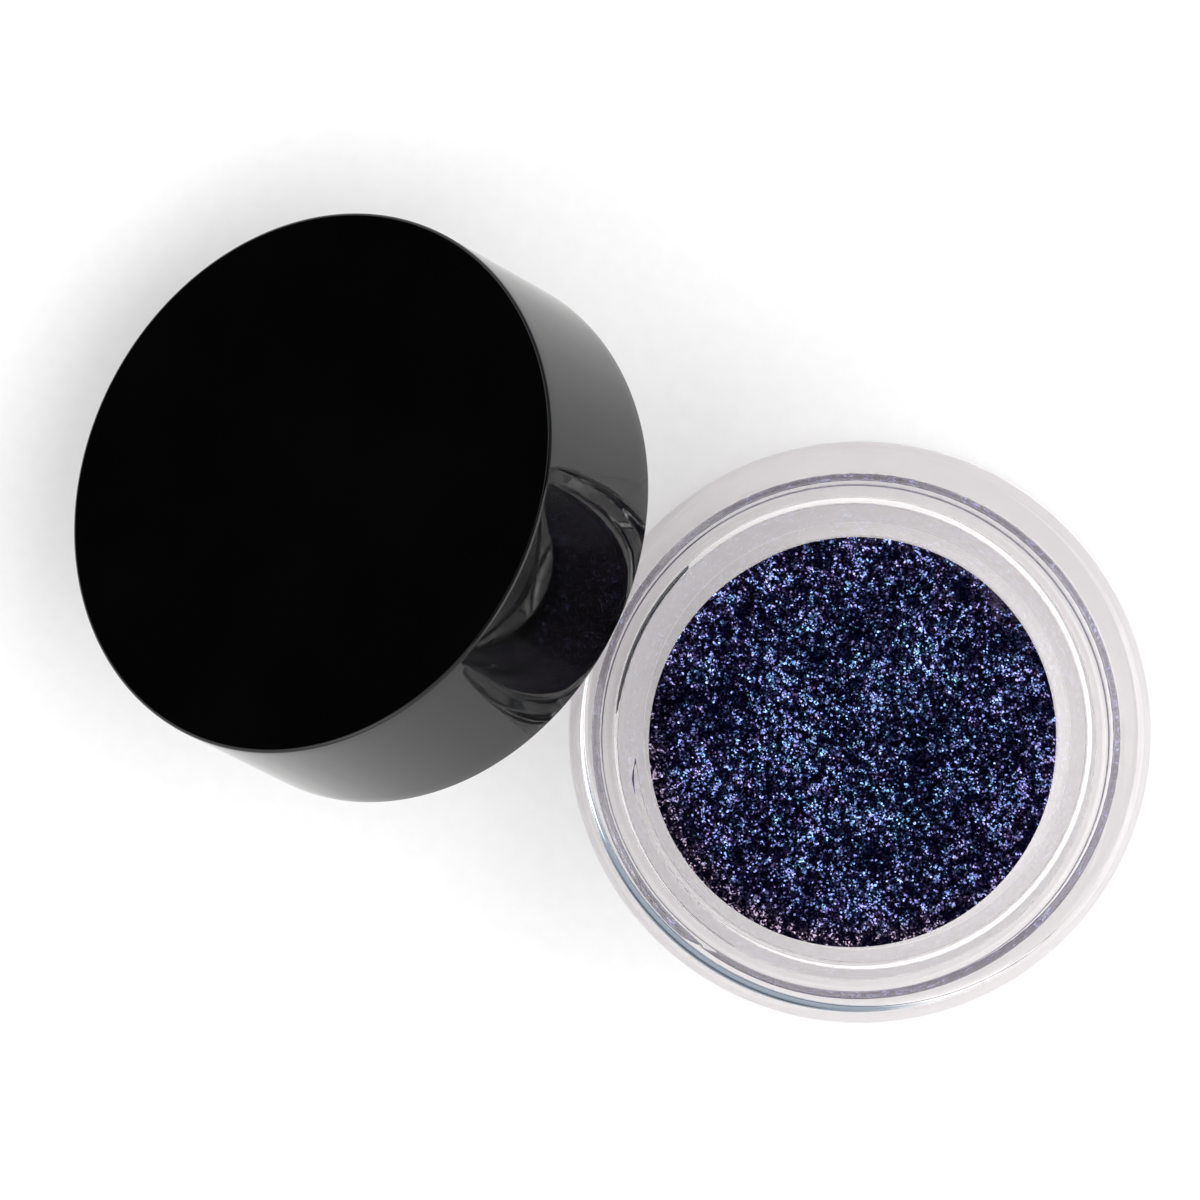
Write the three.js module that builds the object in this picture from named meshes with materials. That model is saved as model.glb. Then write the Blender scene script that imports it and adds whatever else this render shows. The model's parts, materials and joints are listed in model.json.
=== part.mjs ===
// Glass pot of loose glitter eyeshadow with its screw cap off.
// The pot stands upright. The cap leans on it: its far rim is on the table, and its near rim lies
// over the pot's shoulder.
// Units are millimetres and +Z is up. The origin is the middle of the pot's flat underside.
// -X points from the pot's axis to the leaning cap.

import * as THREE from 'three';

// ---- Driving dimensions ------------------------------------------------------------------------

const COLUMNS = 48;              // facets round every turned piece

// Glass pot
const BODY_RADIUS = 20.0;        // outside, at the shoulder
const FOOT_RADIUS = 19.7;        // outside, at the foot: the wall has a slight draft
const FOOT_ROUND = 1.3;          // radius between the underside and the wall
const SHOULDER_Z = 20.4;
const SHOULDER_ROUND = 1.2;
const NECK_RADIUS = 17.3;        // plain wall between the thread's turns
const NECK_FILLET = 0.7;         // where the neck grows out of the shoulder
const LIP_Z = 30.2;              // top of the pot
const LIP_OUTER_ROUND = 0.5;
const MOUTH_RADIUS = 16.42;      // inside edge of the lip
const BOWL_RADIUS = 13.6;        // inside, below the flared mouth
const BOWL_TOP_Z = 25.8;         // where the flared mouth meets the bowl
const BOWL_CORNER = 2.5;         // radius between the bowl's wall and its floor
const BOWL_FLOOR_Z = 18.5;       // the glass below is a thick, heavy base
const FILL_Z = 26.4;             // level of the eyeshadow
const FIT_GAP = 0.3;             // free space kept between pieces that touch

// Screw thread shared by the neck and the cap
const THREAD_PITCH = 4.2;
const THREAD_HEIGHT = 0.7;       // how far a ridge stands proud of its wall
const THREAD_WIDTH = 2.2;        // across a ridge's root
const THREAD_FLANK = 0.7;        // width of each sloping side
const THREAD_RUN_OUT = 0.08;     // turns over which a ridge's ends fade into the wall
const NECK_THREAD_TURNS = 1.15;
const NECK_THREAD_START_Z = 24.0;
const CAP_THREAD_TURNS = 0.9;
const CAP_THREAD_START = 2.0;    // above the cap's rim

// Cap
const CAP_RADIUS = 19.3;
const CAP_HEIGHT = 13.2;
const CAP_WALL = 1.0;
const CAP_ROOF = 1.7;
const CAP_EDGE_ROUND = 0.4;
const LINER_RADIUS = 17.8;
const LINER_THICKNESS = 1.6;     // its face is 9.6 above the cap's rim and the neck is 9.8 tall

// Where the cap leans
const LEAN_DEG = 34.0;           // tilt of the cap's axis from upright
const RIM_CENTRE_X = -33.75;
const RIM_CENTRE_Y = -5.35;

// ---- Helpers -----------------------------------------------------------------------------------

const RAD = Math.PI / 180;

/** Points of a circular arc in the (radius, height) plane. */
function arc(centreR, centreZ, radius, fromDeg, toDeg, steps) {
  return Array.from({ length: steps + 1 }, (_, i) => {
    const angle = (fromDeg + ((toDeg - fromDeg) * i) / steps) * RAD;
    return [centreR + radius * Math.cos(angle), centreZ + radius * Math.sin(angle)];
  });
}

/** Evenly spaced points strictly between two heights of a straight wall. */
function wallRows(radius, fromZ, toZ, rows) {
  return Array.from({ length: rows - 1 }, (_, i) => [radius, fromZ + ((toZ - fromZ) * (i + 1)) / rows]);
}

/** A solid of revolution about +Z from an outline that starts and ends on the axis. */
function turned(outline) {
  const points = outline.map(([r, z]) => new THREE.Vector2(r, z));
  return new THREE.LatheGeometry(points, COLUMNS).rotateX(Math.PI / 2);
}

/** How proud a right-hand helical ridge stands, from 0 to THREAD_HEIGHT, at a turn and a height. */
function ridgeAt(turn, z, startZ, turns) {
  const fromEnd = Math.min(turn, turns - turn);
  if (fromEnd <= 0) return 0;
  const offCentre = Math.abs(z - (startZ + THREAD_PITCH * turn));
  const across = THREE.MathUtils.clamp((THREAD_WIDTH / 2 - offCentre) / THREAD_FLANK, 0, 1);
  const along = Math.min(1, fromEnd / THREAD_RUN_OUT);
  return THREAD_HEIGHT * across * along;
}

/** Moves the vertices of one cylindrical wall out (or in, with side -1) to form the thread. */
function cutThread(geometry, wallRadius, side, startZ, turns) {
  const position = geometry.attributes.position;
  for (let i = 0; i < position.count; i += 1) {
    const x = position.getX(i);
    const y = position.getY(i);
    const z = position.getZ(i);
    const onWall = Math.abs(Math.hypot(x, y) - wallRadius) < 1e-3;
    const inSpan = z > startZ - THREAD_WIDTH && z < startZ + THREAD_PITCH * turns + THREAD_WIDTH;
    if (onWall && inSpan) {
      const angle = Math.floor(i / (position.count / (COLUMNS + 1))) / COLUMNS;
      const proud = Math.max(...[0, 1].map((lap) => ridgeAt(angle + lap, z, startZ, turns)));
      const scale = (wallRadius + side * proud) / wallRadius;
      position.setXY(i, x * scale, y * scale);
    }
  }
  return geometry;
}

/** A named mesh with its own plain material. */
function piece(name, geometry, color, roughness, extra = {}) {
  const material = new THREE.MeshStandardMaterial({ color, roughness, metalness: 0, ...extra });
  const mesh = new THREE.Mesh(geometry, material);
  mesh.name = name;
  return mesh;
}

// ---- Pieces ------------------------------------------------------------------------------------

/** Thick-walled clear glass pot: drafted body, flat shoulder, threaded neck, flared mouth, bowl. */
function makeJar() {
  const neckBottom = SHOULDER_Z + NECK_FILLET;
  const neckTop = LIP_Z - LIP_OUTER_ROUND;
  const outline = [
    [0, 0],
    ...arc(FOOT_RADIUS - FOOT_ROUND, FOOT_ROUND, FOOT_ROUND, -90, 0, 4),
    ...arc(BODY_RADIUS - SHOULDER_ROUND, SHOULDER_Z - SHOULDER_ROUND, SHOULDER_ROUND, 0, 90, 4),
    ...arc(NECK_RADIUS + NECK_FILLET, neckBottom, NECK_FILLET, 270, 180, 3),
    ...wallRows(NECK_RADIUS, neckBottom, neckTop, 15),
    ...arc(NECK_RADIUS - LIP_OUTER_ROUND, neckTop, LIP_OUTER_ROUND, 0, 90, 3),
    [MOUTH_RADIUS, LIP_Z],
    [BOWL_RADIUS, BOWL_TOP_Z],
    ...arc(BOWL_RADIUS - BOWL_CORNER, BOWL_FLOOR_Z + BOWL_CORNER, BOWL_CORNER, 0, -90, 6),
    [0, BOWL_FLOOR_Z],
  ];
  const body = cutThread(turned(outline), NECK_RADIUS, 1, NECK_THREAD_START_Z, NECK_THREAD_TURNS);
  return piece('glass_jar', body, 0xe8ecec, 0.05, { transparent: true, opacity: 0.35 });
}

/** Glitter eyeshadow that fills the bowl to just above the foot of the flared mouth. */
function makeEyeshadow() {
  const corner = BOWL_CORNER - FIT_GAP;
  const outline = [
    [0, BOWL_FLOOR_Z + FIT_GAP],
    ...arc(BOWL_RADIUS - BOWL_CORNER, BOWL_FLOOR_Z + BOWL_CORNER, corner, -90, 0, 6),
    [BOWL_RADIUS - FIT_GAP, FILL_Z],
    [0, FILL_Z],
  ];
  return piece('eyeshadow', turned(outline), 0x15123a, 0.6);
}

/** One-piece moulded cap in its own frame: the rim's plane is z = 0 and the roof is on top. */
function makeCap() {
  const bore = CAP_RADIUS - CAP_WALL;
  const ceiling = CAP_HEIGHT - CAP_ROOF;
  const outline = [
    [0, ceiling],
    [bore, ceiling],
    ...wallRows(bore, ceiling, 0, 20),
    [bore, 0],
    [CAP_RADIUS, 0],
    ...arc(CAP_RADIUS - CAP_EDGE_ROUND, CAP_HEIGHT - CAP_EDGE_ROUND, CAP_EDGE_ROUND, 0, 90, 3),
    [0, CAP_HEIGHT],
  ];
  const shell = cutThread(turned(outline), bore, -1, CAP_THREAD_START, CAP_THREAD_TURNS);
  return piece('screw_cap', shell, 0x050505, 0.12);
}

/** Foam sealing disc under the cap's roof. The thread's ridge keeps it from falling out. */
function makeLiner() {
  const top = CAP_HEIGHT - CAP_ROOF - FIT_GAP;
  const outline = [
    [0, top - LINER_THICKNESS],
    [LINER_RADIUS, top - LINER_THICKNESS],
    [LINER_RADIUS, top],
    [0, top],
  ];
  return piece('cap_liner', turned(outline), 0xeeeeea, 0.7);
}

// ---- Assembly ----------------------------------------------------------------------------------

const leaningCap = new THREE.Group();
leaningCap.add(makeCap(), makeLiner());
leaningCap.rotation.y = -LEAN_DEG * RAD;
leaningCap.position.set(RIM_CENTRE_X, RIM_CENTRE_Y, CAP_RADIUS * Math.sin(LEAN_DEG * RAD));

const pot = new THREE.Group();
pot.add(makeJar(), makeEyeshadow(), leaningCap);

export default pot;
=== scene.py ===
"""Looks of a glass eyeshadow pot with its screw cap off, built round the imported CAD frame.

The pot, the glitter eyeshadow in it, the leaning cap and the cap's liner each get a fine mesh and a
procedural material. Outlines are in millimetres, and every mesh is made in metres.
"""

import json
import math

import bpy
import numpy as np
from mathutils import Matrix, Vector, geometry, noise


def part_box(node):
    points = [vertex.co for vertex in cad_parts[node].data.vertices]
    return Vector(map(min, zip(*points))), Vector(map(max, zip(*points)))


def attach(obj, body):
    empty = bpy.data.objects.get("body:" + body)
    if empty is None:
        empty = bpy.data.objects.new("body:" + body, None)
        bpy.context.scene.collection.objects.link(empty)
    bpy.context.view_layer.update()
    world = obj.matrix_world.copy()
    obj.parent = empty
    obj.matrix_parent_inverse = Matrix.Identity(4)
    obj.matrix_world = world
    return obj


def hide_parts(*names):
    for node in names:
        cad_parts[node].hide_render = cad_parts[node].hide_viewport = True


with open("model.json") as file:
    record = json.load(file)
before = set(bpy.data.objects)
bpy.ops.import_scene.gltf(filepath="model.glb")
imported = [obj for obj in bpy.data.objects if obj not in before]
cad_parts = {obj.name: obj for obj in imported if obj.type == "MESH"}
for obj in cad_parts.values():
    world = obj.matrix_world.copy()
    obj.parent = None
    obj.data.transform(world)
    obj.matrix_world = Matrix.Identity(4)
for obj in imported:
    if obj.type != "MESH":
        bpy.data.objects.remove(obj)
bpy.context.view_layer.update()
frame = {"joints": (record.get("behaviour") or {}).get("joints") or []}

# ---- Driving values. Lengths are in millimetres unless the line says otherwise -------------------

MM = 0.001
SEED = 7

# Glass pot
BODY_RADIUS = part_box("glass_jar")[1].x / MM
LIP_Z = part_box("glass_jar")[1].z / MM
FOOT_RADIUS = 19.7
FOOT_ROUND = 1.3
STANDING_RING_RADIUS = 14.6       # inside edge of the ring that the pot stands on
BASE_SLOPE_WIDTH = 1.2            # over which the underside rises inwards from that ring
BASE_RECESS = 0.4                 # how far it rises
SHOULDER_Z = 20.4
SHOULDER_ROUND = 0.9
NECK_RADIUS = 17.3
NECK_FILLET = 0.7
LIP_OUTER_ROUND = 0.5
LIP_INNER_ROUND = 0.15
MOUTH_RADIUS = 16.42              # where the flare would meet the top of the lip
BOWL_RADIUS = 13.6
BOWL_TOP_Z = 25.8
BOWL_CORNER = 2.5
BOWL_FLOOR_Z = 18.5
POT_COLUMNS = 320

# Screw threads
THREAD_PITCH = 4.2
THREAD_HEIGHT = 0.7
THREAD_WIDTH = 1.6
THREAD_FLANK = 0.25
THREAD_RUN_OUT = 0.03             # turns over which a ridge's ends fade
NECK_THREAD_TURNS = 1.15
NECK_THREAD_START_Z = 24.0
NECK_THREAD_START_DEG = 217.5
CAP_THREAD_TURNS = 0.9
CAP_THREAD_START = 2.0            # above the cap's rim

# Eyeshadow
FILL_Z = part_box("eyeshadow")[1].z / MM
FILL_SLOPE = 0.9                  # how much higher the fill is at its -Y edge than in the middle
EDGE_DROP = 0.2                   # how much lower the fill is at the glass
EDGE_WIDTH = 1.0                  # over which the surface calms down towards the glass
ROLL_SIZE, ROLL_HEIGHT = 3.6, 0.36      # long, gentle waves in the surface
CLUMP_SIZE, CLUMP_HEIGHT = 0.8, 0.40
LUMP_SIZE, LUMP_HEIGHT = 0.34, 0.16     # on the clumps
CONTACT = 0.03                    # how far the powder reaches into the glass, so that it wets it
GRAIN_COUNT = 30000               # corners of the faceted powder surface
GRAIN_JITTER = 0.03
GRAIN_MARGIN = 0.12               # kept free of those corners inside the powder's edge
SIDE_DROP = 0.05                  # from the powder's edge to the top of its side wall, at least
RIM_POINTS = 480
FLAKE_COUNT = 1400
FLAKE_SIDES = 6
FLAKE_SPREAD = 13.2               # radius of the disc that the loose flakes lie on
FLAKE_RADII = (0.06, 0.11)        # smallest and largest
FLAKE_THICKNESS = 0.012
FLAKE_LEAN = 0.35                 # radians, as a standard deviation
FLAKE_LIFT = 0.05                 # of a loose flake above the powder

# Cap, in its own frame with the rim's plane at z = 0
CAP_RADIUS = 19.3
CAP_HEIGHT = 13.2
CAP_WALL = 1.0
CAP_ROOF = 1.7
CAP_EDGE_ROUND = 0.25
CAP_RIM_ROUND = 0.2
CAP_INNER_CORNER = 0.3            # radius between the bore and the roof
CAP_COLUMNS = 288
LINER_RADIUS = 17.8
LINER_THICKNESS = 1.6
LINER_GAP = 0.3                   # between the liner and the roof
LINER_EDGE_ROUND = 0.15
LINER_COLUMNS = 192

# Glass looks
GLASS_TINT = (0.975, 0.957, 0.952, 1.0)
GLASS_SHADOW_TINT = (0.85, 0.84, 0.835, 1.0)   # of the light that a lamp sends through the pot

# Eyeshadow looks. Heights and radii are where a change starts and ends.
FLAKE_SIZE = 0.11                 # of a flake in the powder
FLAKE_TILT = 0.7                  # how far its normal leans, as a share of the normal's length
LOOSE_FLAKE_SIZE = 0.35           # of a patch of one tone on the loose flakes
LOOSE_FLAKE_TILT = 0.4
CLUMP_CLOUD = (0.55, 1.0, 0.36)   # size, detail and swing of the tone
DRIFT_CLOUD = (2.8, 1.5, 0.17)
HUE_CLOUD = (0.9, 2.0, 0.34)      # and of the hue
PURPLE_RADII = (7.5, 13.5)        # the hue turns to purple outwards
# Where the painted rim sheen lies: radii, then heights
RIM_SHEEN_RADII = (12.4, 13.8)
RIM_SHEEN_HEIGHTS = (26.2, 26.8)
PACKED_HEIGHTS = (25.0, 25.4)
POWDER_TONES = [
    (0.20, 0.001), (0.50, 0.008), (0.70, 0.030), (0.86, 0.085), (0.96, 0.38), (1.0, 0.95),
]
LOOSE_FLAKE_TONES = [(0.1, 0.10), (0.5, 0.35), (1.0, 1.0)]
HUES = [
    (0.05, (0.52, 0.32, 0.74)),
    (0.30, (0.38, 0.31, 0.86)),
    (0.50, (0.27, 0.34, 0.95)),
    (0.70, (0.23, 0.44, 0.95)),
    (0.95, (0.25, 0.65, 0.95)),
]
GLINT_HUE = (0.68, 0.73, 0.86, 1.0)       # that the brightest flakes turn towards
RIM_SHEEN_HUE = (0.30, 0.21, 0.26, 1.0)         # painted sheen: the browner glints that the powder's tilted rim shows at a grazing angle
PACKED_HUE = (0.20, 0.155, 0.235, 1.0)    # added where powder is packed against the bowl
DEEP_HUE = (0.0005, 0.0005, 0.0062, 1.0)  # navy left in the darkest gaps

# Camera and light
CAMERA_TARGET = Vector((-19.90, -1.66, 21.53)) * MM
CAMERA_DISTANCE = 1.0             # metres
CAMERA_LEAN_DEG = 3.16            # of the view axis from upright
CAMERA_LEAN_AZIMUTH_DEG = 66.1
CAMERA_ROLL_DEG = 32.1            # the picture's right-hand direction, turned from +X
PICTURE_WIDTH = 82.33 * MM        # across the picture at the target
SENSOR_WIDTH = 36.0
FLOOR_DROP = 0.02 * MM            # keeps the floor off the pot's underside
FLOOR_HALF_SIZE = 2.0             # metres
LAMP_DISTANCE = 1.0               # metres
LAMP_TARGET = Vector((-18.5, 0.0, 20.0)) * MM
WALL_LIGHT = 1.38
CEILING_LIGHT = 0.03
CEILING_EDGE = (0.70, 0.84)       # upward parts of the directions where the walls end
# Round patches: the direction of the middle, then the cosines at the edge and at the core
FLAG_PATCH = ((-0.934, -0.05, 0.353), 0.93, 0.965)   # where the cap's face mirrors the studio
DIM_PATCH = ((0.078, 0.895, 0.438), 0.66, 0.80)      # what the pot's foot mirrors
DIM_LIGHT = (0.26, 0.31, 0.37, 1.0)                  # compared with the walls round it
BACKGROUND = (0.93, 0.93, 0.93, 1.0)

rng = np.random.default_rng(SEED)


# ---- Mesh helpers --------------------------------------------------------------------------------

def arc(centre_r, centre_z, radius, from_deg, to_deg, steps):
    """Points of a circular arc in the (radius, height) plane."""
    angles = np.radians(np.linspace(from_deg, to_deg, steps + 1))
    return [(centre_r + radius * math.cos(a), centre_z + radius * math.sin(a)) for a in angles]


def straight(start, end, rows):
    """Evenly spaced points strictly between two points."""
    return [tuple(np.add(start, np.subtract(end, start) * i / rows)) for i in range(1, rows)]


def mesh_object(name, vertices_mm, faces, smooth=True):
    """A mesh object from points in millimetres."""
    mesh = bpy.data.meshes.new(name)
    mesh.from_pydata((np.asarray(vertices_mm, float) * MM).tolist(), [], faces)
    mesh.polygons.foreach_set("use_smooth", [smooth] * len(mesh.polygons))
    mesh.update()
    obj = bpy.data.objects.new(name, mesh)
    bpy.context.scene.collection.objects.link(obj)
    return obj


def lathe(name, outline, columns, ridge=None, wall_radius=None):
    """Turns an outline that starts and ends on the axis, and runs anticlockwise round the section.

    ridge(turn, z) moves the points that lie on wall_radius, which forms a screw thread.
    """
    bottom, top = outline[0], outline[-1]
    rows = np.array(outline[1:-1], float)
    turns = np.arange(columns) / columns
    radius = np.repeat(rows[:, :1], columns, axis=1)
    height = np.repeat(rows[:, 1:], columns, axis=1)
    if ridge is not None:
        on_wall = np.abs(rows[:, 0] - wall_radius) < 1e-6
        radius[on_wall] += ridge(np.tile(turns, (on_wall.sum(), 1)), height[on_wall])
    x = radius * np.cos(2 * math.pi * turns)
    y = radius * np.sin(2 * math.pi * turns)
    points = np.stack([x, y, height], axis=-1).reshape(-1, 3)
    points = np.vstack([points, (0, 0, bottom[1]), (0, 0, top[1])])
    faces = []
    last = len(rows) - 1
    for j in range(columns):
        k = (j + 1) % columns
        faces += [(i * columns + j, i * columns + k, (i + 1) * columns + k, (i + 1) * columns + j)
                  for i in range(last)]
        faces.append((len(points) - 2, k, j))
        faces.append((len(points) - 1, last * columns + j, last * columns + k))
    return mesh_object(name, points, faces)


def helix(start_z, turns, start_deg=0.0, side=1):
    """The ridge function of a right-hand thread, for lathe()."""
    def ridge(turn, z):
        proud = np.zeros_like(z)
        for lap in (0, 1):
            along = (turn - start_deg / 360) % 1 + lap
            from_end = np.minimum(along, turns - along)
            across = (THREAD_WIDTH / 2 - np.abs(z - start_z - THREAD_PITCH * along)) / THREAD_FLANK
            height = np.clip(across, 0, 1) * np.clip(from_end / THREAD_RUN_OUT, 0, 1)
            proud = np.maximum(proud, THREAD_HEIGHT * height)
        return side * proud
    return ridge


def mouth_radius(z):
    """Inside radius of the glass at a height in the flared mouth or in the bowl's straight part."""
    flare = (MOUTH_RADIUS - BOWL_RADIUS) / (LIP_Z - BOWL_TOP_Z)
    return BOWL_RADIUS + flare * max(z - BOWL_TOP_Z, 0.0)


# ---- Node helpers --------------------------------------------------------------------------------

def new_material(name):
    """A material, its node tree and its Principled node."""
    material = bpy.data.materials.new(name)
    material.use_nodes = True
    nodes = material.node_tree
    return material, nodes, nodes.nodes["Principled BSDF"]


def node(nodes, kind, inputs=None, **settings):
    """Adds a node, sets its properties, and sets or links its inputs."""
    made = nodes.nodes.new(kind)
    for key, value in settings.items():
        setattr(made, key, value)
    for key, value in (inputs or {}).items():
        if isinstance(value, bpy.types.NodeSocket):
            nodes.links.new(value, made.inputs[key])
        else:
            made.inputs[key].default_value = value
    return made


def ramp(nodes, factor, stops):
    """A colour ramp's colour output, from (position, (r, g, b)) stops."""
    made = node(nodes, "ShaderNodeValToRGB", {"Fac": factor})
    elements = made.color_ramp.elements
    while len(elements) < len(stops):
        elements.new(0.5)
    for element, (position, colour) in zip(elements, stops):
        element.position = position
        element.color = (*colour, 1.0)
    return made.outputs["Color"]


def object_coordinates(nodes):
    return node(nodes, "ShaderNodeTexCoord").outputs["Object"]


def remap(nodes, value, from_min, from_max, to_min, to_max):
    """A value carried linearly from one range to another, and kept in it."""
    inputs = {0: value, 1: from_min, 2: from_max, 3: to_min, 4: to_max}
    return node(nodes, "ShaderNodeMapRange", inputs).outputs[0]


def add(nodes, first, second):
    return node(nodes, "ShaderNodeMath", {0: first, 1: second}, operation="ADD").outputs[0]


def cloud(nodes, place, size, detail, swing):
    """Soft noise about zero, with blobs of a size in millimetres."""
    inputs = {"Vector": place, "Scale": 1 / (size * MM), "Detail": detail}
    noise_value = node(nodes, "ShaderNodeTexNoise", inputs).outputs["Fac"]
    return remap(nodes, noise_value, 0.25, 0.75, -swing, swing)


def outwards(nodes, place):
    """Distance from the pot's axis, in metres."""
    level = node(nodes, "ShaderNodeVectorMath", {0: place, 1: (1, 1, 0)}, operation="MULTIPLY")
    length = node(nodes, "ShaderNodeVectorMath", {0: level.outputs[0]}, operation="LENGTH")
    return length.outputs["Value"]


def upwards(nodes, place):
    """The upward part of a place or a direction."""
    return node(nodes, "ShaderNodeSeparateXYZ", {0: place}).outputs["Z"]


def mix_colour(nodes, blend, factor, first, second):
    inputs = {0: factor, 6: first, 7: second}
    return node(nodes, "ShaderNodeMix", inputs, data_type="RGBA", blend_type=blend).outputs[2]


def bump(nodes, height, strength, distance):
    inputs = {"Height": height, "Strength": strength, "Distance": distance}
    return node(nodes, "ShaderNodeBump", inputs).outputs["Normal"]


# ---- Materials -----------------------------------------------------------------------------------

def clear_glass():
    """Clear moulded glass with very faint flow marks. Lamps' rays pass it, dimmed."""
    material, nodes, glass = new_material("clear_glass")
    glass.inputs["Base Color"].default_value = GLASS_TINT
    glass.inputs["Transmission Weight"].default_value = 1.0
    glass.inputs["Roughness"].default_value = 0.0
    glass.inputs["IOR"].default_value = 1.5
    place = object_coordinates(nodes)
    flow = node(nodes, "ShaderNodeTexNoise", {"Vector": place, "Scale": 160.0, "Detail": 1.0})
    nodes.links.new(bump(nodes, flow.outputs["Fac"], 0.03, 0.0002), glass.inputs["Normal"])
    passing = node(nodes, "ShaderNodeBsdfTransparent", {"Color": GLASS_SHADOW_TINT})
    is_shadow = node(nodes, "ShaderNodeLightPath").outputs["Is Shadow Ray"]
    inputs = {0: is_shadow, 1: glass.outputs[0], 2: passing.outputs[0]}
    mixed = node(nodes, "ShaderNodeMixShader", inputs)
    nodes.links.new(mixed.outputs[0], nodes.nodes["Material Output"].inputs["Surface"])
    return material


def flake_hue(nodes, place, chance, level, tone):
    """Purple in dim flakes and towards the rim, blue to cyan in bright ones, paler in glints."""
    near, far = (radius * MM for radius in PURPLE_RADII)
    hue = add(nodes, remap(nodes, chance, 0, 1, 0.36, 0.68), cloud(nodes, place, *HUE_CLOUD))
    hue = add(nodes, hue, remap(nodes, outwards(nodes, place), near, far, 0.04, -0.15))
    hue = add(nodes, hue, remap(nodes, level, 0.50, 0.95, -0.17, 0.08))
    glint = remap(nodes, tone, 0.15, 1.0, 0.0, 0.25)
    return mix_colour(nodes, "MIX", glint, ramp(nodes, hue, HUES), GLINT_HUE)


def painted_sheen_share(nodes, place):
    """How much of the look is the painted rim sheen: only high up, and at the rim."""
    near, far = (radius * MM for radius in RIM_SHEEN_RADII)
    low, high = (height * MM for height in RIM_SHEEN_HEIGHTS)
    at_rim = remap(nodes, outwards(nodes, place), near, far, 0.0, 1.0)
    inputs = {0: at_rim, 1: remap(nodes, upwards(nodes, place), low, high, 0.1, 0.9)}
    return node(nodes, "ShaderNodeMath", inputs, operation="MULTIPLY").outputs[0]


def flake_normal(nodes, chances, tilt):
    """The surface's normal, leaned another way in every flake."""
    inputs = {0: chances, 1: (0.5, 0.5, 0.5)}
    centred = node(nodes, "ShaderNodeVectorMath", inputs, operation="SUBTRACT")
    inputs = {0: centred.outputs[0], "Scale": tilt}
    lean = node(nodes, "ShaderNodeVectorMath", inputs, operation="SCALE")
    normal = node(nodes, "ShaderNodeNewGeometry").outputs["Normal"]
    leaned = node(nodes, "ShaderNodeVectorMath", {0: normal, 1: lean.outputs[0]}, operation="ADD")
    unit = node(nodes, "ShaderNodeVectorMath", {0: leaned.outputs[0]}, operation="NORMALIZE")
    return unit.outputs[0]


def glitter(name, flake_size, tilt, tones):
    """Packed metallic flakes. Each cell of a Voronoi pattern is a flake with its own tone and lean.

    Clouds of two sizes make whole clumps brighter or darker, and a painted sheen makes the powder
    browner high up at the rim, where its tilted surface meets the light at a grazing angle.
    """
    material, nodes, flakes = new_material(name)
    place = object_coordinates(nodes)
    cells = node(nodes, "ShaderNodeTexVoronoi", {"Vector": place, "Scale": 1 / (flake_size * MM)})
    chances = cells.outputs["Color"]
    chance = node(nodes, "ShaderNodeSeparateColor", {"Color": chances}).outputs
    level = add(nodes, chance[0], cloud(nodes, place, *CLUMP_CLOUD))
    level = add(nodes, level, cloud(nodes, place, *DRIFT_CLOUD))
    tone = ramp(nodes, level, [(position, (value,) * 3) for position, value in tones])
    hue = flake_hue(nodes, place, chance[1], level, tone)
    colour = mix_colour(nodes, "MULTIPLY", 1.0, hue, tone)
    # painted sheen: browner flakes high up at the rim, in place of a grazing light's glints
    rim_sheen = mix_colour(nodes, "MULTIPLY", 1.0, RIM_SHEEN_HUE, tone)
    colour = mix_colour(nodes, "MIX", painted_sheen_share(nodes, place), colour, rim_sheen)
    low, high = (height * MM for height in PACKED_HEIGHTS)
    packed = remap(nodes, upwards(nodes, place), low, high, 1.0, 0.0)
    paler = mix_colour(nodes, "ADD", 0.5, colour, PACKED_HUE)
    colour = mix_colour(nodes, "MIX", packed, colour, paler)
    colour = mix_colour(nodes, "ADD", 1.0, colour, DEEP_HUE)
    nodes.links.new(colour, flakes.inputs["Base Color"])
    nodes.links.new(flake_normal(nodes, chances, tilt), flakes.inputs["Normal"])
    nodes.links.new(remap(nodes, chance[2], 0, 1, 0.2, 0.5), flakes.inputs["Roughness"])
    flakes.inputs["Metallic"].default_value = 1.0
    return material


def black_gloss_plastic():
    """Polished black moulding with faint unevenness in its gloss."""
    material, nodes, plastic = new_material("black_gloss_plastic")
    place = object_coordinates(nodes)
    smudge = node(nodes, "ShaderNodeTexNoise", {"Vector": place, "Scale": 90.0, "Detail": 4.0})
    gloss = remap(nodes, smudge.outputs["Fac"], 0.35, 0.7, 0.035, 0.06)
    nodes.links.new(gloss, plastic.inputs["Roughness"])
    colour = ramp(nodes, smudge.outputs["Fac"], [(0.3, (0.0010,) * 3), (0.7, (0.0016,) * 3)])
    nodes.links.new(colour, plastic.inputs["Base Color"])
    plastic.inputs["IOR"].default_value = 1.42
    return material


def white_foam():
    """Fine closed-cell foam."""
    material, nodes, foam = new_material("white_foam")
    place = object_coordinates(nodes)
    cells = node(nodes, "ShaderNodeTexVoronoi", {"Vector": place, "Scale": 3500.0})
    stops = [(0.1, (0.86, 0.86, 0.84)), (0.8, (0.70, 0.70, 0.68))]
    colour = ramp(nodes, cells.outputs["Distance"], stops)
    nodes.links.new(colour, foam.inputs["Base Color"])
    nodes.links.new(bump(nodes, cells.outputs["Distance"], 0.5, 0.0001), foam.inputs["Normal"])
    foam.inputs["Roughness"].default_value = 0.75
    return material


# ---- Pieces --------------------------------------------------------------------------------------

def base_recess():
    """The underside's outline, from the axis out to the ring that the pot stands on."""
    recess_radius = STANDING_RING_RADIUS - BASE_SLOPE_WIDTH
    slope = [(recess_radius + BASE_SLOPE_WIDTH * t, BASE_RECESS * (1 - t * t * (3 - 2 * t)))
             for t in np.linspace(0, 1, 9)]
    return [*straight((0, BASE_RECESS), (recess_radius, BASE_RECESS), 6), *slope]


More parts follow.
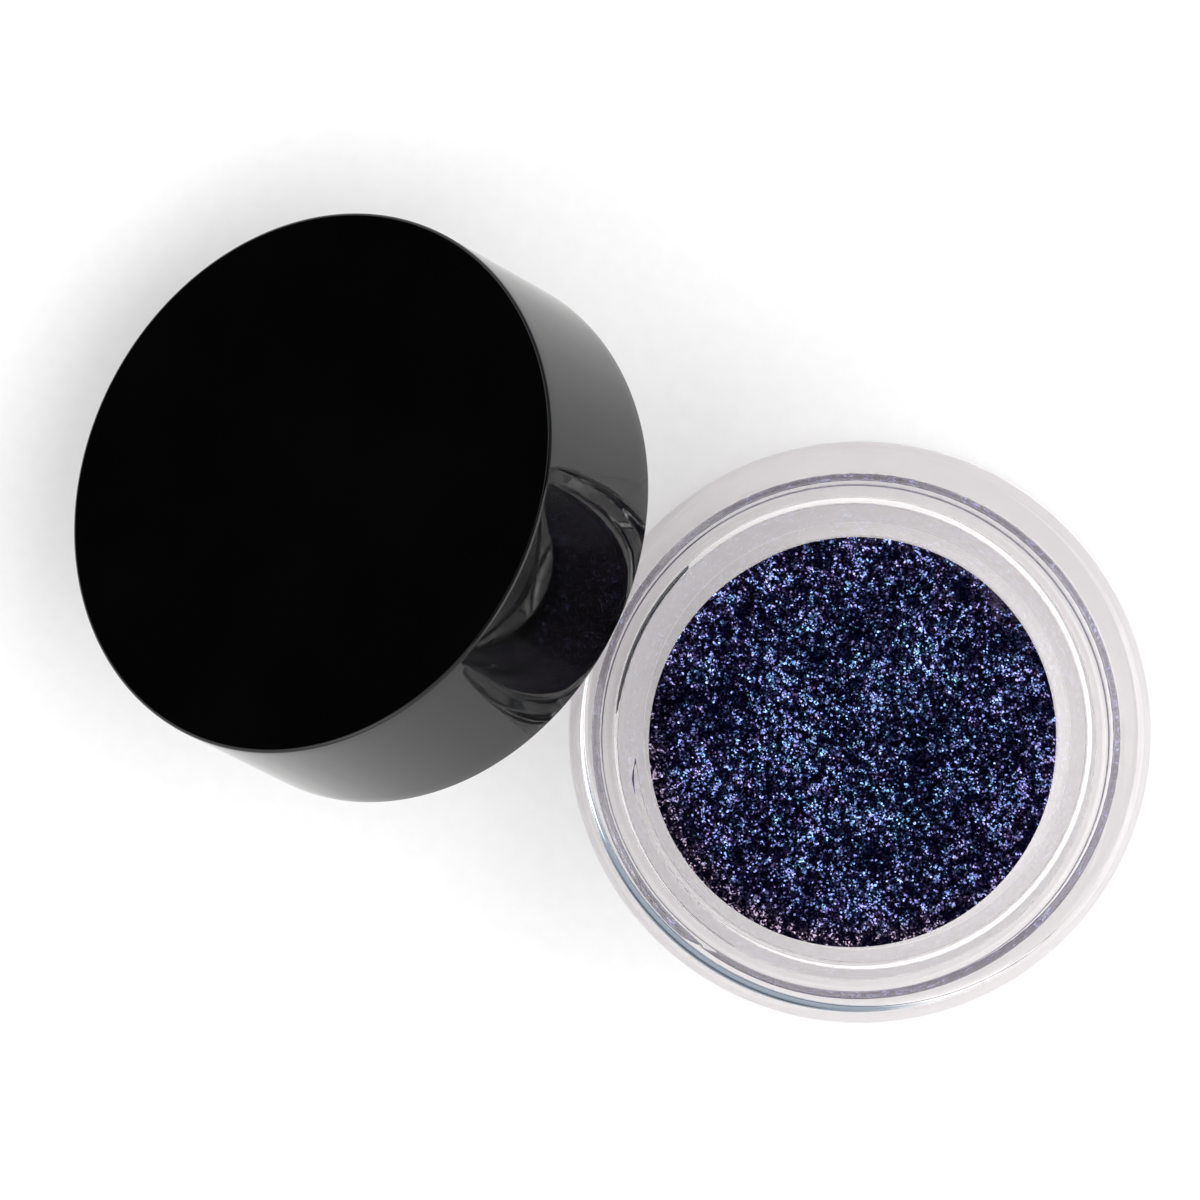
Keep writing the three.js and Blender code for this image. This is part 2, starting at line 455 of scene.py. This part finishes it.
def flare_edge():
    """The small round between the top of the lip and the flare, tangent to both."""
    rise = math.atan2(LIP_Z - BOWL_TOP_Z, MOUTH_RADIUS - BOWL_RADIUS)
    centre_r = MOUTH_RADIUS + LIP_INNER_ROUND * math.tan(rise / 2)
    return arc(centre_r, LIP_Z - LIP_INNER_ROUND, LIP_INNER_ROUND, 90, 90 + math.degrees(rise), 8)


def make_pot():
    """Clear glass pot: recessed base, drafted body, shoulder, threaded neck, flared mouth, bowl."""
    neck_bottom = SHOULDER_Z + NECK_FILLET
    neck_top = LIP_Z - LIP_OUTER_ROUND
    bowl_arc = (BOWL_RADIUS - BOWL_CORNER, BOWL_FLOOR_Z + BOWL_CORNER, BOWL_CORNER)
    lip_edge = flare_edge()
    outline = [
        (0, BASE_RECESS),
        *base_recess(),
        *arc(FOOT_RADIUS - FOOT_ROUND, FOOT_ROUND, FOOT_ROUND, -90, 0, 12),
        *straight((FOOT_RADIUS, FOOT_ROUND), (BODY_RADIUS, SHOULDER_Z - SHOULDER_ROUND), 8),
        *arc(BODY_RADIUS - SHOULDER_ROUND, SHOULDER_Z - SHOULDER_ROUND, SHOULDER_ROUND, 0, 90, 12),
        *arc(NECK_RADIUS + NECK_FILLET, neck_bottom, NECK_FILLET, 270, 180, 10),
        *straight((NECK_RADIUS, neck_bottom), (NECK_RADIUS, neck_top), 172),
        *arc(NECK_RADIUS - LIP_OUTER_ROUND, neck_top, LIP_OUTER_ROUND, 0, 90, 10),
        *lip_edge,
        *straight(lip_edge[-1], (BOWL_RADIUS, BOWL_TOP_Z), 12),
        (BOWL_RADIUS, BOWL_TOP_Z),
        *straight((BOWL_RADIUS, BOWL_TOP_Z), (BOWL_RADIUS, bowl_arc[1]), 8),
        *arc(*bowl_arc, 0, -90, 12),
        *straight((bowl_arc[0], BOWL_FLOOR_Z), (0, BOWL_FLOOR_Z), 6),
        (0, BOWL_FLOOR_Z),
    ]
    ridge = helix(NECK_THREAD_START_Z, NECK_THREAD_TURNS, NECK_THREAD_START_DEG)
    pot = lathe("pot_glass", outline, POT_COLUMNS, ridge, NECK_RADIUS)
    pot.data.materials.append(clear_glass())
    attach(pot, "jar")
    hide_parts("glass_jar")


def fill_height(x, y):
    """Height of the powder's clumpy surface, in millimetres."""
    inwards = min(1.0, max(0.0, (BOWL_RADIUS - math.hypot(x, y)) / EDGE_WIDTH))
    rolling = noise.noise((x / ROLL_SIZE, y / ROLL_SIZE, 1.7)) * ROLL_HEIGHT
    large, _ = noise.voronoi((x / CLUMP_SIZE, y / CLUMP_SIZE, 4.1))
    small, _ = noise.voronoi((x / LUMP_SIZE, y / LUMP_SIZE, 9.3))
    clumps = (0.45 - large[0]) * CLUMP_HEIGHT + (0.4 - small[0]) * LUMP_HEIGHT
    level = FILL_Z - FILL_SLOPE * y / BOWL_RADIUS - EDGE_DROP * (1 - inwards)
    return level + (rolling + clumps) * (0.25 + 0.75 * inwards)


def powder_top(around, level):
    """Corners and triangles of the powder's surface, with its edge's corners first."""
    edge = np.array([mouth_radius(z) for z in level]) + CONTACT
    rim = np.stack([edge * np.cos(around), edge * np.sin(around)], axis=1)
    index = np.arange(GRAIN_COUNT) + 0.5
    radius = (edge.min() - GRAIN_MARGIN) * np.sqrt(index / GRAIN_COUNT)
    golden = math.pi * (3 - math.sqrt(5))
    inner = np.stack([radius * np.cos(golden * index), radius * np.sin(golden * index)], axis=1)
    inner += rng.normal(0, GRAIN_JITTER, inner.shape)
    plan = [Vector(point) for point in np.vstack([rim, inner])]
    found = geometry.delaunay_2d_cdt(plan, [], [], 0, 1e-9)
    corners, triangles = found[0], found[2]
    top = np.array([(p.x, p.y, fill_height(p.x, p.y)) for p in corners])
    top[RIM_POINTS:, 2] += rng.normal(0, GRAIN_JITTER, len(top) - RIM_POINTS)
    top[:RIM_POINTS, 2] = level
    return top, [tuple(triangle) for triangle in triangles]


def powder_sides(around, level):
    """Rings of points down the bowl's wall and in over its floor, and the floor's height."""
    wall = BOWL_RADIUS + CONTACT
    corner = BOWL_CORNER + CONTACT
    centre_r, centre_z = BOWL_RADIUS - BOWL_CORNER, BOWL_FLOOR_Z + BOWL_CORNER
    floor_z = centre_z - corner
    outline = [(wall, BOWL_TOP_Z), *straight((wall, BOWL_TOP_Z), (wall, centre_z), 10),
               *arc(centre_r, centre_z, corner, 0, -90, 12),
               *straight((centre_r, floor_z), (0, floor_z), 5)]
    highest = level - SIDE_DROP
    rings = [np.stack([r * np.cos(around), r * np.sin(around), np.minimum(z, highest)], axis=1)
             for r, z in outline]
    return rings, floor_z


def make_eyeshadow():
    """Faceted, clumpy powder that fills the bowl and touches the glass all round."""
    around = 2 * math.pi * np.arange(RIM_POINTS) / RIM_POINTS
    level = FILL_Z - EDGE_DROP - FILL_SLOPE * np.sin(around)
    top, faces = powder_top(around, level)
    rings, floor_z = powder_sides(around, level)
    points = np.vstack([top, *rings, (0, 0, floor_z)])
    starts = [0] + [len(top) + i * RIM_POINTS for i in range(len(rings))]
    for upper, lower in zip(starts, starts[1:]):
        for j in range(RIM_POINTS):
            k = (j + 1) % RIM_POINTS
            faces.append((upper + j, lower + j, lower + k, upper + k))
    for j in range(RIM_POINTS):
        faces.append((starts[-1] + j, len(points) - 1, starts[-1] + (j + 1) % RIM_POINTS))
    powder = mesh_object("eyeshadow_powder", points, faces, smooth=False)
    powder.data.materials.append(glitter("glitter_powder", FLAKE_SIZE, FLAKE_TILT, POWDER_TONES))
    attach(powder, "jar")
    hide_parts("eyeshadow")


def flake_corners():
    """The corners of one loose flake, lower face first, at a random place on the powder."""
    radius = FLAKE_SPREAD * math.sqrt(rng.random())
    angle = 2 * math.pi * rng.random()
    x, y = radius * math.cos(angle), radius * math.sin(angle)
    size = rng.uniform(*FLAKE_RADII)
    turn = Matrix.Rotation(2 * math.pi * rng.random(), 3, "Z")
    lean = (Matrix.Rotation(rng.normal(0, FLAKE_LEAN), 3, "X")
            @ Matrix.Rotation(rng.normal(0, FLAKE_LEAN), 3, "Y"))
    place = Vector((x, y, fill_height(x, y) + FLAKE_LIFT))
    angles = 2 * math.pi * np.arange(FLAKE_SIDES) / FLAKE_SIDES
    return [place + lean @ turn @ Vector((size * math.cos(a), size * math.sin(a), z))
            for z in (0.0, FLAKE_THICKNESS) for a in angles]


def make_flakes():
    """Larger loose flakes, each a thin six-sided plate, that lie on the powder."""
    points, faces = [], []
    for _ in range(FLAKE_COUNT):
        lower = list(range(len(points), len(points) + FLAKE_SIDES))
        upper = [corner + FLAKE_SIDES for corner in lower]
        points += flake_corners()
        faces += [tuple(reversed(lower)), tuple(upper)]
        for j in range(FLAKE_SIDES):
            k = (j + 1) % FLAKE_SIDES
            faces.append((lower[j], lower[k], upper[k], upper[j]))
    flakes = mesh_object("eyeshadow_flakes", points, faces, smooth=False)
    looks = glitter("glitter_flakes", LOOSE_FLAKE_SIZE, LOOSE_FLAKE_TILT, LOOSE_FLAKE_TONES)
    flakes.data.materials.append(looks)
    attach(flakes, "jar")


def leaning_frame():
    """Places things made in the cap's own frame where the CAD cap leans."""
    turn = next(j for j in frame["joints"] if j["name"] == "cap_turn")
    up = Vector(turn["axis"]).normalized()
    sideways = Vector((0, 1, 0))
    place = Matrix((sideways.cross(up), sideways, up)).transposed().to_4x4()
    place.translation = Vector(turn["pos_m"])
    return place


def make_cap():
    """Black cap: rounded top edge, straight polished side, threaded bore."""
    bore = CAP_RADIUS - CAP_WALL
    ceiling = CAP_HEIGHT - CAP_ROOF
    top = CAP_HEIGHT - CAP_EDGE_ROUND
    corner_r, corner_z = bore - CAP_INNER_CORNER, ceiling - CAP_INNER_CORNER
    outline = [
        (0, ceiling),
        *straight((0, ceiling), (corner_r, ceiling), 8),
        *arc(corner_r, corner_z, CAP_INNER_CORNER, 90, 0, 6),
        *straight((bore, corner_z), (bore, CAP_RIM_ROUND), 150),
        *arc(bore + CAP_RIM_ROUND, CAP_RIM_ROUND, CAP_RIM_ROUND, 180, 270, 6),
        *arc(CAP_RADIUS - CAP_RIM_ROUND, CAP_RIM_ROUND, CAP_RIM_ROUND, -90, 0, 6),
        *straight((CAP_RADIUS, CAP_RIM_ROUND), (CAP_RADIUS, top), 12),
        *arc(CAP_RADIUS - CAP_EDGE_ROUND, top, CAP_EDGE_ROUND, 0, 90, 12),
        *straight((CAP_RADIUS - CAP_EDGE_ROUND, CAP_HEIGHT), (0, CAP_HEIGHT), 12),
        (0, CAP_HEIGHT),
    ]
    ridge = helix(CAP_THREAD_START, CAP_THREAD_TURNS, side=-1)
    cap = lathe("cap_shell", outline, CAP_COLUMNS, ridge, bore)
    cap.data.transform(leaning_frame())
    cap.data.materials.append(black_gloss_plastic())
    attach(cap, "cap")
    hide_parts("screw_cap")


def make_liner():
    """White foam disc under the cap's roof."""
    top = CAP_HEIGHT - CAP_ROOF - LINER_GAP
    low = top - LINER_THICKNESS
    edge = LINER_RADIUS - LINER_EDGE_ROUND
    outline = [
        (0, low),
        *straight((0, low), (edge, low), 24),
        *arc(edge, low + LINER_EDGE_ROUND, LINER_EDGE_ROUND, -90, 0, 5),
        *arc(edge, top - LINER_EDGE_ROUND, LINER_EDGE_ROUND, 0, 90, 5),
        *straight((edge, top), (0, top), 24),
        (0, top),
    ]
    liner = lathe("foam_liner", outline, LINER_COLUMNS)
    liner.data.transform(leaning_frame())
    liner.data.materials.append(white_foam())
    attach(liner, "liner")
    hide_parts("cap_liner")


# ---- Studio --------------------------------------------------------------------------------------

def make_floor():
    """Plain white paper floor."""
    points = np.array([(-1, -1, 0), (1, -1, 0), (1, 1, 0), (-1, 1, 0)]) * FLOOR_HALF_SIZE / MM
    floor = mesh_object("floor", points, [(0, 1, 2, 3)])
    floor.location.z = -FLOOR_DROP
    material, nodes, paper = new_material("floor_paper")
    place = object_coordinates(nodes)
    grain = node(nodes, "ShaderNodeTexNoise", {"Vector": place, "Scale": 900.0, "Detail": 2.0})
    stops = [(0.3, (0.90, 0.895, 0.895)), (0.7, (0.92, 0.915, 0.915))]
    colour = ramp(nodes, grain.outputs["Fac"], stops)
    nodes.links.new(colour, paper.inputs["Base Color"])
    paper.inputs["Roughness"].default_value = 0.9
    paper.inputs["Specular IOR Level"].default_value = 0.1
    floor.data.materials.append(material)


def direction_to(azimuth, elevation):
    """The unit vector towards an azimuth from +X and an elevation, both in radians."""
    level = math.cos(elevation)
    return Vector((math.cos(azimuth) * level, math.sin(azimuth) * level, math.sin(elevation)))


def make_camera():
    """Long lens almost straight above, leaned and rolled as the product shot is."""
    lean = math.radians(CAMERA_LEAN_DEG)
    azimuth = math.radians(CAMERA_LEAN_AZIMUTH_DEG)
    back = direction_to(azimuth, math.pi / 2 - lean)
    roll = math.radians(CAMERA_ROLL_DEG)
    right = Vector((math.cos(roll), math.sin(roll), 0))
    right = (right - back * right.dot(back)).normalized()
    up = back.cross(right)
    data = bpy.data.cameras.new("camera")
    data.sensor_width = SENSOR_WIDTH
    data.lens = SENSOR_WIDTH * CAMERA_DISTANCE / PICTURE_WIDTH
    data.clip_start, data.clip_end = 0.01, 10.0
    camera = bpy.data.objects.new("camera", data)
    camera.matrix_world = Matrix((right, up, back)).transposed().to_4x4()
    camera.location = CAMERA_TARGET + back * CAMERA_DISTANCE
    bpy.context.scene.collection.objects.link(camera)
    bpy.context.scene.camera = camera


def softbox(name, azimuth_deg, elevation_deg, size, power):
    """A soft square lamp, LAMP_DISTANCE from the middle of the object and facing it."""
    away = direction_to(math.radians(azimuth_deg), math.radians(elevation_deg))
    data = bpy.data.lights.new(name, "AREA")
    data.shape = "SQUARE"
    data.size = size
    data.energy = power
    lamp = bpy.data.objects.new(name, data)
    lamp.location = LAMP_TARGET + away * LAMP_DISTANCE
    lamp.rotation_euler = away.to_track_quat("Z", "Y").to_euler()
    bpy.context.scene.collection.objects.link(lamp)


def nearness(nodes, direction, middle, edge, core):
    """1 in the core of a round patch of the studio, and 0 outside its edge."""
    towards = node(nodes, "ShaderNodeVectorMath", {0: direction, 1: middle}, operation="DOT_PRODUCT")
    return remap(nodes, towards.outputs["Value"], edge, core, 0.0, 1.0)


def make_studio():
    """White walls with a dark ceiling. A dark flag and a dim patch show in gloss and glass only.

    Camera rays see a plain pale background. The floor is lit as if the flag and the patch weren't
    there, which keeps it white.
    """
    world = bpy.data.worlds.new("studio")
    bpy.context.scene.world = world
    world.use_nodes = True
    nodes = world.node_tree
    direction = node(nodes, "ShaderNodeTexCoord").outputs["Generated"]
    rays = node(nodes, "ShaderNodeLightPath").outputs
    walls = remap(nodes, upwards(nodes, direction), *CEILING_EDGE, WALL_LIGHT, CEILING_LIGHT)
    patches = []
    for middle, edge, core in (FLAG_PATCH, DIM_PATCH):
        inputs = {0: nearness(nodes, direction, middle, edge, core), 1: rays["Is Diffuse Ray"]}
        seen = node(nodes, "ShaderNodeMath", inputs, operation="SUBTRACT", use_clamp=True)
        patches.append(seen.outputs[0])
    flag, dim = patches
    unflagged = node(nodes, "ShaderNodeMath", {0: 1.0, 1: flag}, operation="SUBTRACT")
    inputs = {0: walls, 1: unflagged.outputs[0]}
    strength = node(nodes, "ShaderNodeMath", inputs, operation="MULTIPLY").outputs[0]
    colour = mix_colour(nodes, "MIX", dim, (1.0, 1.0, 1.0, 1.0), DIM_LIGHT)
    lit = node(nodes, "ShaderNodeBackground", {"Color": colour, "Strength": strength})
    background = nodes.nodes["Background"]
    background.inputs["Color"].default_value = BACKGROUND
    inputs = {0: rays["Is Camera Ray"], 1: lit.outputs[0], 2: background.outputs[0]}
    mixed = node(nodes, "ShaderNodeMixShader", inputs)
    nodes.links.new(mixed.outputs[0], nodes.nodes["World Output"].inputs["Surface"])


make_camera()
make_pot()
make_eyeshadow()
make_flakes()
make_cap()
make_liner()
make_floor()
make_studio()
softbox("key_softbox", 20, 55, 1.0, 7.6)
softbox("fill_softbox", 260, 52, 0.9, 2.9)
bpy.context.scene.view_settings.view_transform = "Standard"
